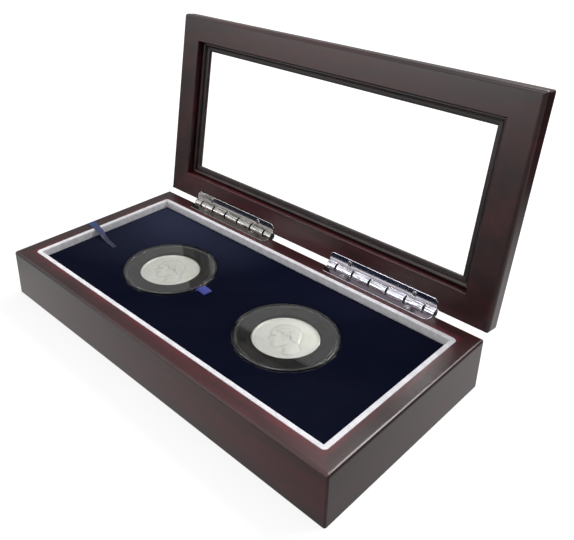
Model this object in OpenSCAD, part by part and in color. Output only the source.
// Coin display case: a low lacquered wooden box with a glazed lid on two butt hinges.
// A velvet tray inside holds two round coin capsules. The case is drawn with its lid open.
// Millimetres. The origin is the centre of the underside, +X runs along the case,
// +Y towards the hinges and +Z up.

/* [Case] */
// Outer length of the case
case_length = 210; // [196:1:260]
// Outer width of the case, front to back
case_width = 105; // [96:1:140]
// Height of the base at its rim
base_height = 25; // [22:0.5:40]
// Thickness of the base's wooden walls
rail_thickness = 8; // [7:0.5:11]
// Roundover along the rim and along the lid's inner edges
edge_radius = 2; // [0.5:0.1:3]
// Roundover along the lid's outer edges
lid_edge_radius = 2.5; // [0.5:0.1:4]
// Roundover along the two edges that the hinges join
hinge_edge_radius = 0.8; // [0.2:0.1:1.5]
// Radius of the upright corners
corner_radius = 1; // [0.5:0.1:3]
// Radius in the inner corners of the base
inner_corner_radius = 2; // [0.5:0.1:4]

/* [Floor] */
// Thickness of the floor panel
floor_thickness = 3; // [2:0.5:5]
// How far the floor panel runs under the walls
floor_rebate = 4; // [2:0.5:6]
// Thickness of the felt under the case
felt_thickness = 0.8; // [0.5:0.1:1.5]

/* [Lining and tray] */
// Thickness of the white lining
liner_thickness = 2.4; // [1.5:0.1:4]
// Thickness of the strips that carry the tray
riser_thickness = 3; // [2:0.5:5]
// Depth of the velvet below the rim
velvet_drop = 3; // [2:0.1:5]
// Thickness of the tray's backing board
board_thickness = 1.5; // [1:0.1:3]
// Gap around the tray
tray_clearance = 0.4; // [0.3:0.1:1]
// Gap between the tray and the strips that carry it
tray_seat_gap = 0.1; // [0.05:0.05:0.3]

/* [Capsules] */
// Distance between the two capsules' centres
capsule_spacing = 79; // [66:1:90]
// Place of the point midway between the capsules along the case, from its centre
capsules_x = 1.2; // [-5:0.1:5]
// Place of the capsules across the case, from its centre
capsules_y = -2; // [-6:0.5:6]
// Outer diameter of a capsule
capsule_diameter = 47.8; // [44:0.1:55]
// Height of a closed capsule
capsule_height = 7.1; // [6:0.1:9]
// Thickness of a capsule's side wall and of its skirt
capsule_wall = 1; // [0.8:0.1:1.5]
// Thickness of a capsule's two clear discs
capsule_disc = 1.2; // [0.8:0.1:1.6]
// Depth of the skirt that holds the upper half in the lower half
capsule_skirt = 1.1; // [0.6:0.1:1.2]
// Gap between a capsule's halves, and around its ring
capsule_fit = 0.1; // [0.05:0.05:0.2]
// How far a capsule stands above the velvet
capsule_proud = 0.3; // [0:0.1:1.5]
// Gap around a capsule in its round well
well_clearance = 0.4; // [0.3:0.1:1]

/* [Coins] */
// Diameter of a coin
coin_diameter = 30.6; // [24:0.1:34]
// Thickness of a coin over its rim
coin_thickness = 2.15; // [1.6:0.05:2.4]
// Width of a coin's raised rim
coin_rim = 1.1; // [0.6:0.1:2]
// Depth of a coin's field below its rim
coin_relief = 0.2; // [0.1:0.05:0.3]
// Gap between a coin and the ring that holds it
coin_fit = 0.05; // [0.03:0.01:0.1]

/* [Lid] */
// Thickness of the lid
lid_thickness = 9.6; // [8.6:0.1:14]
// Width of the lid's frame, seen from inside
lid_frame_width = 13.5; // [11:0.5:18]
// Width of the outer lip that the glass lies on
lip_width = 3; // [2:0.5:4.5]
// Thickness of the outer lip
lip_thickness = 2; // [1.5:0.1:3]
// Thickness of the glass
glass_thickness = 2; // [1.5:0.1:3]
// Gap around the glass
glass_clearance = 0.3; // [0.1:0.1:1]
// Width of the moulding that holds the glass
bead_width = 5; // [4:0.5:7]
// Height of the moulding's flat fillet
bead_fillet = 0.9; // [0.6:0.1:1.4]
// Radius of the moulding's round
bead_round = 1.3; // [0.8:0.1:1.6]
// Gap between the closed lid and the rim
lid_gap = 0.8; // [0.7:0.1:1.2]
// Angle that the lid is drawn open, where its hinges stop it
lid_open_deg = 98.5; // [91:0.5:110]

/* [Hinges] */
// Distance of a hinge's centre in from its end of the case
hinge_inset = 55; // [45:1:60]
// Distance of the hinges' axis behind the back of the case
hinge_setback = 1.4; // [1:0.1:1.6]
// Outer diameter of a hinge's barrel
barrel_diameter = 4; // [3.8:0.1:4.4]
// Diameter of a hinge's pin
pin_diameter = 1.6; // [1.2:0.1:1.8]
// Gap between the pin and its knuckles
pin_fit = 0.05; // [0.03:0.01:0.1]
// How far the pin's round ends stand out of the barrel
pin_end = 0.5; // [0.3:0.1:1]
// Length of a full knuckle
knuckle_length = 10; // [8:0.5:11]
// Length of the two short knuckles at a hinge's ends
end_knuckle_length = 5.5; // [4:0.5:8]
// Number of full knuckles
full_knuckles = 5; // [3:2:5]
// Gap between knuckles
knuckle_gap = 0.3; // [0.2:0.05:0.5]
// Thickness of a hinge's leaves
leaf_thickness = 0.8; // [0.6:0.1:1]
// How far a leaf stands out of its wooden pocket
leaf_proud = 0.2; // [0.1:0.05:0.3]
// Reach of a leaf in from the back of the case
leaf_reach = 5.5; // [5:0.1:6.5]
// Radius of a leaf's free corners
leaf_corner = 2.4; // [1:0.1:2.5]
// Gap around a leaf in its pocket and around the barrel
leaf_fit = 0.2; // [0.1:0.05:0.3]

/* [Screws] */
// Distance between the two screws of a leaf
screw_spacing = 37; // [30:1:44]
// Distance of the screws in from the back of the case
screw_inset = 3.2; // [2.8:0.1:3.6]
// Diameter of a screw's head
screw_head = 2.8; // [2.4:0.1:3]
// Diameter of a screw's shank
screw_shank = 1.4; // [1.2:0.1:1.6]
// Length of a screw under its head
screw_length = 5; // [4:0.5:6]
// Height of a head's dome above its leaf
screw_dome = 0.12; // [0.05:0.01:0.15]
// Width of the slot in a head
screw_slot = 0.35; // [0.3:0.05:0.5]
// Gap around a screw
screw_fit = 0.05; // [0.03:0.01:0.1]
// Straight land under a head's countersink
screw_land = 0.1; // [0.05:0.05:0.2]
// Depth of a pilot hole past its screw's tip
pilot_depth = 0.2; // [0.1:0.1:1]

/* [Ribbons] */
// Width of the satin ribbons
ribbon_width = 5; // [4:0.5:8]
// Thickness of the ribbons
ribbon_thickness = 0.25; // [0.2:0.05:0.35]
// Gap under a ribbon that lies loose
ribbon_lay = 0.1; // [0.05:0.05:0.2]
// Distance of the lift ribbon's slit from the tray's left end
lift_slit_inset = 19; // [14:1:22]
// Place of the lift ribbon along the case's width, from its centre
lift_ribbon_y = -10; // [-20:1:20]
// Turn of the lift ribbon away from the case's length
lift_ribbon_turn = -8; // [-20:1:20]
// Length over which the lift ribbon climbs from the velvet to the rim
lift_climb = 9; // [6:0.5:14]
// Distance of the lift ribbon's free end from the case's left side
lift_end_inset = 1.5; // [1:0.5:5]
// Distance from the left capsule's centre at which its ribbon starts, under it
tab_start = 8; // [2:0.5:18]
// Length of the capsule ribbon's free end on the velvet
tab_length = 6.5; // [4:0.5:12]
// Direction in which the capsule ribbon leaves the left capsule
tab_angle = -4; // [-30:1:30]

/* [Hidden] */
$fn = 64;
over = 1;                       // how far a cutting shape runs past what it cuts

half_l = case_length / 2;
half_w = case_width / 2;
well_l = case_length - 2 * rail_thickness;
well_w = case_width - 2 * rail_thickness;
room_l = well_l - 2 * liner_thickness;
room_w = well_w - 2 * liner_thickness;
floor_z = felt_thickness + floor_thickness;
capsule_seat = ribbon_thickness + 2 * ribbon_lay;
pad_thickness = capsule_height + capsule_seat - capsule_proud;
velvet_z = base_height - velvet_drop;
board_top = velvet_z - pad_thickness;
tray_z = board_top - board_thickness;
tray_l = room_l - 2 * tray_clearance;
tray_w = room_w - 2 * tray_clearance;
well_r = capsule_diameter / 2 + well_clearance;
capsule_z = board_top + capsule_seat;
ring_z = capsule_z + capsule_disc;
ring_h = capsule_height - 2 * capsule_disc - capsule_fit;
skirt_r = capsule_diameter / 2 - capsule_wall - capsule_fit;
ring_r = skirt_r - capsule_wall - capsule_fit;
coin_z = ring_z + (capsule_height - 2 * capsule_disc - coin_thickness) / 2;

lid_z = base_height + lid_gap;
recess = lid_thickness - lip_thickness;
glass_z = lid_z + recess - glass_thickness;

hinge_x = half_l - hinge_inset;
hinge_y = half_w + hinge_setback;
hinge_z = base_height + lid_gap / 2;
barrel_r = barrel_diameter / 2;
bore_r = pin_diameter / 2 + pin_fit;
hinge_half = (full_knuckles * knuckle_length + 2 * end_knuckle_length) / 2;
leaf_top = -lid_gap / 2 + leaf_proud;       // a base leaf's upper face, from the hinge's axis
leaf_front = -hinge_setback - leaf_reach;   // its free edge
leaf_back = -barrel_r - knuckle_gap;        // its edge before the barrel
tab_back = -(barrel_r + bore_r) / 2;        // how far a knuckle's root runs into the barrel
head_cone = leaf_thickness - screw_land;    // depth of a head's countersink

slit_x = -tray_l / 2 + lift_slit_inset;
tab_leg_r = well_r + ribbon_lay + ribbon_thickness;

WOOD = [0.25, 0.13, 0.13];

// Shared shapes

// What a round of radius r takes off the corner of a flat outline at the origin
module corner_waste(r) {
    difference() {
        translate([-over, -over]) square(r + over);
        translate([r, r]) circle(r);
    }
}

// Takes the four upright corners of an l by w block round
module upright_waste(l, w, r, z, h) {
    for (sx = [-1, 1], sy = [-1, 1])
        translate([sx * l / 2, sy * w / 2, z - over])
            rotate([0, 0, sx > 0 ? (sy > 0 ? 180 : 90) : (sy > 0 ? -90 : 0)])
                linear_extrude(h + 2 * over) corner_waste(r);
}

// A block with round upright corners
module round_block(l, w, r, z, h) {
    difference() {
        translate([-l / 2, -w / 2, z]) cube([l, w, h]);
        upright_waste(l, w, r, z, h);
    }
}

// The region that a mitred bar may fill, on the front side of an l by w frame
module mitre_wedge(l, w, depth, z, h) {
    d = depth + over;
    translate([0, 0, z - over])
        linear_extrude(h + 2 * over)
            polygon([
                [-l / 2 - over, -w / 2 - over], [l / 2 + over, -w / 2 - over],
                [l / 2 - d, -w / 2 + d], [-l / 2 + d, -w / 2 + d]
            ]);
}

// A mitred bar on the front side of an l by w frame, its outline given by the child
module mitred_bar(l, w, depth, z, h) {
    intersection() {
        translate([0, -w / 2, z])
            rotate([90, 0, 90])
                linear_extrude(l + 2 * over, center = true) children();
        mitre_wedge(l, w, depth, z, h);
    }
}

// An upright rectangle whose outer edges have radii r_low and r_top
module bar_outline(depth, h, r_low, r_top) {
    difference() {
        square([depth, h]);
        if (r_low > 0) corner_waste(r_low);
        if (r_top > 0) translate([0, h]) mirror([0, 1]) corner_waste(r_top);
    }
}

// Turns a part drawn on the front side to another side: 0 front, 1 right, 2 back, 3 left
module on_side(i) {
    rotate([0, 0, 90 * i]) children();
}

// Frame length and width as seen from side i
function span(i, l, w) = i % 2 == 0 ? l : w;

// Swings a part of the closed lid open about the hinges' axis
module opened() {
    translate([0, hinge_y, hinge_z])
        rotate([-lid_open_deg, 0, 0])
            translate([0, -hinge_y, -hinge_z]) children();
}

// Base

module base_rail(i) {
    depth = rail_thickness + inner_corner_radius + over;
    r_top = i == 2 ? hinge_edge_radius : edge_radius;
    difference() {
        on_side(i)
            mitred_bar(span(i, case_length, case_width), span(i, case_width, case_length),
                       depth, 0, base_height)
                bar_outline(depth, base_height, 0, r_top);
        round_block(well_l, well_w, inner_corner_radius, -over, base_height + 2 * over);
        upright_waste(case_length, case_width, corner_radius, 0, base_height);
        translate([-half_l + floor_rebate, -half_w + floor_rebate, -over])
            cube([case_length - 2 * floor_rebate, case_width - 2 * floor_rebate, floor_z + over]);
    }
}

module base_front_rail() { color(WOOD) base_rail(0); }
module base_right_rail() { color(WOOD) base_rail(1); }
module base_left_rail() { color(WOOD) base_rail(3); }
module base_back_rail() {
    color(WOOD)
        difference() {
            base_rail(2);
            for (side = [-1, 1]) at_hinge(side) hinge_pocket();
        }
}

module base_floor_panel() {
    color("saddlebrown")
        translate([-half_l + floor_rebate, -half_w + floor_rebate, felt_thickness])
            cube([case_length - 2 * floor_rebate, case_width - 2 * floor_rebate, floor_thickness]);
}

module base_felt() {
    color([0.08, 0.08, 0.1])
        translate([-half_l + floor_rebate, -half_w + floor_rebate, 0])
            cube([case_length - 2 * floor_rebate, case_width - 2 * floor_rebate, felt_thickness]);
}

module liner(i) {
    h = base_height - floor_z;
    color([0.9, 0.9, 0.92])
        difference() {
            on_side(i)
                mitred_bar(span(i, well_l, well_w), span(i, well_w, well_l),
                           liner_thickness, floor_z, h)
                    square([liner_thickness, h]);
            upright_waste(well_l, well_w, inner_corner_radius + ribbon_lay, floor_z, h);
        }
}

module liner_front() { liner(0); }
module liner_right() { liner(1); }
module liner_back() { liner(2); }
module liner_left() { liner(3); }

module riser(x, y, l, w) {
    color([0.75, 0.72, 0.66])
        translate([x - l / 2, y - w / 2, floor_z])
            cube([l, w, tray_z - tray_seat_gap - floor_z]);
}

riser_x = (room_l - riser_thickness) / 2;
riser_y = (room_w - riser_thickness) / 2;
module riser_front() { riser(0, -riser_y, room_l, riser_thickness); }
module riser_back() { riser(0, riser_y, room_l, riser_thickness); }
module riser_left() { riser(-riser_x, 0, riser_thickness, room_w - 2 * riser_thickness); }
module riser_right() { riser(riser_x, 0, riser_thickness, room_w - 2 * riser_thickness); }

// Tray

module tray_board() {
    color("dimgray")
        translate([-tray_l / 2, -tray_w / 2, tray_z]) cube([tray_l, tray_w, board_thickness]);
}

module at_capsule(side) {
    translate([capsules_x + side * capsule_spacing / 2, capsules_y, 0]) children();
}

// Places a child at the lift ribbon's slit, turned as the ribbon lies
module at_slit() {
    translate([slit_x, lift_ribbon_y, 0]) rotate([0, 0, lift_ribbon_turn]) children();
}

module tray_velvet_pad() {
    slot_w = ribbon_width + 2 * tray_clearance;
    color([0.07, 0.09, 0.2])
        difference() {
            translate([-tray_l / 2, -tray_w / 2, board_top]) cube([tray_l, tray_w, pad_thickness]);
            for (side = [-1, 1])
                at_capsule(side)
                    translate([0, 0, board_top - over])
                        cylinder(r = well_r, h = pad_thickness + 2 * over);
            at_slit()
                translate([-ribbon_thickness - ribbon_lay, -slot_w / 2, board_top - over])
                    cube([ribbon_thickness + 2 * ribbon_lay, slot_w, pad_thickness + 2 * over]);
            at_capsule(-1)
                rotate([0, 0, tab_angle])
                    translate([well_r - over, -slot_w / 2, board_top - over])
                        cube([over + 2 * ribbon_lay + ribbon_thickness + tray_clearance,
                              slot_w, pad_thickness + 2 * over]);
        }
}

// A ribbon: its side outline, extruded across its width
module ribbon_strip() {
    color([0.15, 0.25, 0.75])
        rotate([90, 0, 0])
            linear_extrude(ribbon_width, center = true) children();
}

module tray_lift_ribbon() {
    t = ribbon_thickness;
    low = velvet_z + ribbon_lay;
    high = base_height + ribbon_lay;
    rise_x = -room_l / 2 + over - slit_x;
    end_x = -half_l + lift_end_inset - slit_x;
    at_slit()
        ribbon_strip()
            polygon([
                [0, board_top], [0, low + t], [rise_x + lift_climb, low + t],
                [rise_x, high + t], [end_x, high + t], [end_x, high],
                [rise_x, high], [rise_x + lift_climb, low], [-t, low], [-t, board_top]
            ]);
}

module capsule_ribbon() {
    t = ribbon_thickness;
    low = velvet_z + ribbon_lay;
    r = tab_leg_r;
    at_capsule(-1)
        rotate([0, 0, tab_angle])
            ribbon_strip()
                polygon([
                    [tab_start, board_top], [r, board_top], [r, low], [r + tab_length, low],
                    [r + tab_length, low + t], [r - t, low + t],
                    [r - t, board_top + t], [tab_start, board_top + t]
                ]);
}

// Capsules and coins

module capsule_base(side) {
    color([0.8, 0.85, 0.88, 0.5])
        at_capsule(side)
            translate([0, 0, capsule_z])
                difference() {
                    cylinder(d = capsule_diameter, h = capsule_height - capsule_disc);
                    translate([0, 0, capsule_disc])
                        cylinder(r = capsule_diameter / 2 - capsule_wall, h = capsule_height);
                }
}

module capsule_top(side) {
    color([0.8, 0.85, 0.88, 0.5])
        at_capsule(side)
            translate([0, 0, capsule_z + capsule_height - capsule_disc])
                union() {
                    cylinder(d = capsule_diameter, h = capsule_disc);
                    difference() {
                        translate([0, 0, -capsule_skirt]) cylinder(r = skirt_r, h = capsule_skirt);
                        translate([0, 0, -capsule_skirt - over])
                            cylinder(r = skirt_r - capsule_wall, h = capsule_skirt + over);
                    }
                }
}

module capsule_ring(side) {
    color([0.25, 0.25, 0.25])
        at_capsule(side)
            translate([0, 0, ring_z])
                difference() {
                    cylinder(r = ring_r, h = ring_h);
                    translate([0, 0, -over])
                        cylinder(r = coin_diameter / 2 + coin_fit, h = ring_h + 2 * over);
                }
}

module coin(side) {
    field_r = coin_diameter / 2 - coin_rim;
    color("silver")
        at_capsule(side)
            translate([0, 0, coin_z])
                difference() {
                    cylinder(d = coin_diameter, h = coin_thickness);
                    translate([0, 0, coin_thickness - coin_relief]) cylinder(r = field_r, h = over);
                    translate([0, 0, coin_relief - over]) cylinder(r = field_r, h = over);
                }
}

module capsule_left_base() { capsule_base(-1); }
module capsule_left_top() { capsule_top(-1); }
module capsule_left_ring() { capsule_ring(-1); }
module coin_left() { coin(-1); }
module capsule_right_base() { capsule_base(1); }
module capsule_right_top() { capsule_top(1); }
module capsule_right_ring() { capsule_ring(1); }
module coin_right() { coin(1); }

// Lid

module lid_rail(i) {
    depth = lid_frame_width + lip_width;
    inset = 2 * lid_frame_width;
    r_low = i == 2 ? hinge_edge_radius : edge_radius;
    difference() {
        on_side(i)
            mitred_bar(span(i, case_length, case_width), span(i, case_width, case_length),
                       depth, lid_z, lid_thickness)
                bar_outline(depth, lid_thickness, r_low, lid_edge_radius);
        upright_waste(case_length, case_width, corner_radius, lid_z, lid_thickness);
        translate([-half_l + lid_frame_width, -half_w + lid_frame_width, lid_z - over])
            cube([case_length - inset, case_width - inset, recess + over]);
    }
}

module lid_front_rail() { color(WOOD) opened() lid_rail(0); }
module lid_right_rail() { color(WOOD) opened() lid_rail(1); }
module lid_left_rail() { color(WOOD) opened() lid_rail(3); }
module lid_back_rail() {
    color(WOOD)
        opened()
            difference() {
                lid_rail(2);
                for (side = [-1, 1]) at_hinge(side) mirror([0, 0, 1]) hinge_pocket();
            }
}

module lid_glass() {
    l = case_length - 2 * (lid_frame_width + glass_clearance);
    w = case_width - 2 * (lid_frame_width + glass_clearance);
    color([0.8, 0.9, 0.95, 0.35])
        opened()
            translate([-l / 2, -w / 2, glass_z]) cube([l, w, glass_thickness]);
}

// Side outline of the glazing moulding: a flat fillet with a round beside the frame
module bead_outline() {
    h = bead_fillet + bead_round;
    translate([0, h - bead_fillet]) square([bead_width, bead_fillet]);
    translate([bead_round, h - bead_fillet]) circle(bead_round);
}

module lid_bead(i) {
    l = case_length - 2 * lid_frame_width;
    w = case_width - 2 * lid_frame_width;
    h = bead_fillet + bead_round;
    color([0.12, 0.07, 0.07])
        opened()
            on_side(i)
                mitred_bar(span(i, l, w), span(i, w, l), bead_width, glass_z - h, h)
                    intersection() {
                        bead_outline();
                        square([bead_width, h]);
                    }
}

module lid_bead_front() { lid_bead(0); }
module lid_bead_right() { lid_bead(1); }
module lid_bead_back() { lid_bead(2); }
module lid_bead_left() { lid_bead(3); }

// Hinges. Each is drawn closed about its own axis, the base leaf below and the lid leaf above.

module at_hinge(side) {
    translate([side * hinge_x, hinge_y, hinge_z]) children();
}

// Where knuckle i starts along the hinge
function knuckle_edge(i) =
    i == 0 ? -hinge_half
    : i == full_knuckles + 2 ? hinge_half
    : -full_knuckles * knuckle_length / 2 + (i - 1) * knuckle_length;

// Flat outline of a leaf, larger all round by gap
module leaf_outline(gap) {
    r = leaf_corner + gap;
    x = hinge_half + gap;
    y = leaf_front - gap;
    translate([-x, y + r]) square([2 * x, leaf_back + gap - y - r]);
    translate([-x + r, y]) square([2 * (x - r), 2 * r]);
    for (side = [-1, 1]) translate([side * (x - r), y + r]) circle(r);
}

// Places a child at each of a leaf's two screws, on the leaf's upper face
module at_screws() {
    for (side = [-1, 1])
        translate([side * screw_spacing / 2, -hinge_setback - screw_inset, leaf_top]) children();
}

// What the hinge takes out of the wood below it
module hinge_pocket() {
    translate([0, 0, leaf_top - leaf_thickness])
        linear_extrude(leaf_thickness + over) {
            leaf_outline(leaf_fit);
            translate([-hinge_half - leaf_fit, leaf_back])
                square([2 * (hinge_half + leaf_fit), over - leaf_back]);
        }
    rotate([0, 90, 0])
        cylinder(r = barrel_r + leaf_fit, h = 2 * (hinge_half + leaf_fit + pin_end), center = true);
    at_screws()
        translate([0, 0, -screw_length - pilot_depth])
            cylinder(d = screw_shank + 2 * screw_fit, h = screw_length);
}

// A leaf whose knuckles are every second one from the first
module leaf(first) {
    difference() {
        union() {
            translate([0, 0, leaf_top - leaf_thickness]) linear_extrude(leaf_thickness) leaf_outline(0);
            for (i = [first : 2 : full_knuckles + 1]) {
                x0 = knuckle_edge(i) + (i == 0 ? 0 : knuckle_gap / 2);
                x1 = knuckle_edge(i + 1) - (i == full_knuckles + 1 ? 0 : knuckle_gap / 2);
                translate([x0, 0, 0]) rotate([0, 90, 0]) cylinder(r = barrel_r, h = x1 - x0);
                translate([x0, leaf_back - over / 2, leaf_top - leaf_thickness])
                    cube([x1 - x0, tab_back - leaf_back + over / 2, leaf_thickness]);
            }
        }
        rotate([0, 90, 0]) cylinder(r = bore_r, h = 2 * hinge_half + 2 * over, center = true);
        at_screws() screw_hole();
    }
}

module screw_hole() {
    translate([0, 0, -head_cone])
        cylinder(d1 = screw_shank + 2 * screw_fit, d2 = screw_head + 2 * screw_fit, h = head_cone);
    translate([0, 0, -leaf_thickness - over])
        cylinder(d = screw_shank + 2 * screw_fit, h = leaf_thickness + over);
    cylinder(d = screw_head + 2 * screw_fit, h = over);
}

// A countersunk screw with a slightly domed, slotted head
module screw() {
    dome_r = (screw_head * screw_head / 4 + screw_dome * screw_dome) / (2 * screw_dome);
    difference() {
        union() {
            translate([0, 0, -head_cone]) cylinder(d1 = screw_shank, d2 = screw_head, h = head_cone);
            translate([0, 0, -screw_length]) cylinder(d = screw_shank, h = screw_length - head_cone);
            intersection() {
                translate([0, 0, screw_dome - dome_r]) sphere(dome_r);
                cylinder(d = screw_head, h = over);
            }
        }
        translate([-screw_head, -screw_slot / 2, -2 * screw_dome]) cube([2 * screw_head, screw_slot, over]);
    }
}

module base_leaf(side) { color("lightgray") at_hinge(side) leaf(1); }
module lid_leaf(side) { color("lightgray") opened() at_hinge(side) mirror([0, 0, 1]) leaf(0); }
module base_screws(side) { color("silver") at_hinge(side) at_screws() screw(); }
module lid_screws(side) {
    color("silver") opened() at_hinge(side) mirror([0, 0, 1]) at_screws() screw();
}

module hinge_pin(side) {
    color("gainsboro")
        at_hinge(side)
            rotate([0, 90, 0])
                cylinder(d = pin_diameter, h = 2 * (hinge_half + pin_end), center = true);
}

module hinge_left_base_leaf() { base_leaf(-1); }
module hinge_left_lid_leaf() { lid_leaf(-1); }
module hinge_left_pin() { hinge_pin(-1); }
module hinge_left_base_screws() { base_screws(-1); }
module hinge_left_lid_screws() { lid_screws(-1); }
module hinge_right_base_leaf() { base_leaf(1); }
module hinge_right_lid_leaf() { lid_leaf(1); }
module hinge_right_pin() { hinge_pin(1); }
module hinge_right_base_screws() { base_screws(1); }
module hinge_right_lid_screws() { lid_screws(1); }

base_front_rail();
base_back_rail();
base_left_rail();
base_right_rail();
base_floor_panel();
base_felt();
liner_front();
liner_back();
liner_left();
liner_right();
riser_front();
riser_back();
riser_left();
riser_right();
tray_board();
tray_velvet_pad();
tray_lift_ribbon();
capsule_ribbon();
capsule_left_base();
capsule_left_top();
capsule_left_ring();
coin_left();
capsule_right_base();
capsule_right_top();
capsule_right_ring();
coin_right();
lid_front_rail();
lid_back_rail();
lid_left_rail();
lid_right_rail();
lid_glass();
lid_bead_front();
lid_bead_back();
lid_bead_left();
lid_bead_right();
hinge_left_base_leaf();
hinge_left_lid_leaf();
hinge_left_pin();
hinge_left_base_screws();
hinge_left_lid_screws();
hinge_right_base_leaf();
hinge_right_lid_leaf();
hinge_right_pin();
hinge_right_base_screws();
hinge_right_lid_screws();
